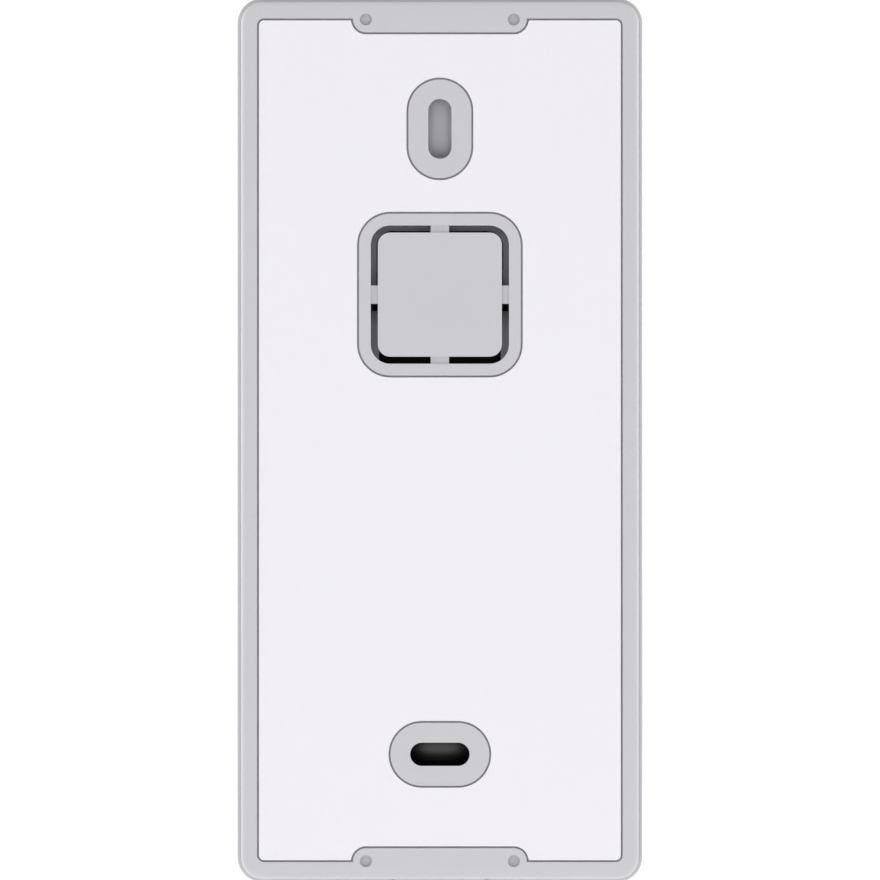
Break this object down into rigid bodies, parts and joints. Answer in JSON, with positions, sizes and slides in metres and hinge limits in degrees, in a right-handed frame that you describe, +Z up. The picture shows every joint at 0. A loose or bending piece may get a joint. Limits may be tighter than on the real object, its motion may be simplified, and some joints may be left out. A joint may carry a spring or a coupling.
{
  "type": "video doorbell",
  "caption": "Battery video doorbell hanging on a flat wall bracket with screw slots, a wiring knock-out and a backing pad; camera panel and push button in front.",
  "frame": {"origin": "middle of the bracket's wall face, on the backing pad", "axes": "+Z up, +Y out of the wall face into the wall, -Y towards the person at the door, +X to the right seen from the front"},
  "size_m": [0.0628, 0.025, 0.137],
  "materials": {
    "grey_plastic": "satin",
    "white_pad": "matte",
    "black_plastic": "satin",
    "gloss_black": "gloss",
    "rubber": "matte",
    "steel": "satin",
    "brass": "satin",
    "circuit_board": "satin",
    "lens_glass": "gloss",
    "smoked_lens": "satin",
    "clear_led": "gloss",
    "button_white": "satin",
    "light_guide": "satin",
    "battery_case": "satin"
  },
  "bodies": {
    "bracket": {"bracket_plate": "grey_plastic", "backing_pad": "white_pad"},
    "doorbell": {"battery_contacts": "brass", "battery_pack": "battery_case", "board_ribbon": "light_guide", "button_board": "circuit_board", "button_light_ring": "light_guide", "button_seal": "rubber", "button_switch": "black_plastic", "camera_panel": "gloss_black", "cover_screw_1": "steel", "cover_screw_2": "steel", "cover_screw_3": "steel", "cover_screw_4": "steel", "front_housing": "grey_plastic", "front_lens": "lens_glass", "housing_gasket": "rubber", "housing_screw_1": "steel", "housing_screw_2": "steel", "housing_screw_3": "steel", "housing_screw_4": "steel", "infrared_board": "circuit_board", "infrared_led_1": "clear_led", "infrared_led_2": "clear_led", "infrared_led_3": "clear_led", "infrared_led_4": "clear_led", "lens_barrel": "black_plastic", "lens_holder": "black_plastic", "lens_window": "lens_glass", "light_sensor_lens": "smoked_lens", "main_board": "circuit_board", "microphone": "steel", "microphone_boot": "rubber", "motion_lens": "smoked_lens", "motion_sensor": "steel", "rear_housing": "grey_plastic", "rear_lens": "lens_glass", "screw_insert": "brass", "sensor_board": "circuit_board", "service_cover": "black_plastic", "service_cover_gasket": "rubber", "shield_can": "steel", "speaker": "black_plastic", "speaker_gasket": "rubber", "speaker_mesh": "steel", "tamper_switch": "black_plastic", "terminal_block": "black_plastic", "terminal_screw_1": "brass", "terminal_screw_2": "brass", "wifi_antenna": "circuit_board", "wiring_tray": "black_plastic"},
    "security_screw": {"security_screw": "steel"},
    "button_cap": {"button_cap": "button_white"},
    "tamper_plunger": {"tamper_plunger": "black_plastic"}
  },
  "joints": [
    {"name": "lift_off_hooks", "type": "slide", "parent": "bracket", "child": "doorbell", "axis": [0, 0, 1], "range_m": [0, 0.004]},
    {"name": "screw_withdraw", "type": "slide", "parent": "bracket", "child": "security_screw", "axis": [0, 0, -1], "range_m": [0, 0.008]},
    {"name": "button_press", "type": "slide", "parent": "doorbell", "child": "button_cap", "axis": [0, 1, 0], "range_m": [0, 0.0008], "stiffness_N_per_m": 800},
    {"name": "tamper_press", "type": "slide", "parent": "doorbell", "child": "tamper_plunger", "axis": [0, -1, 0], "range_m": [0, 0.0012], "stiffness_N_per_m": 60}
  ]
}
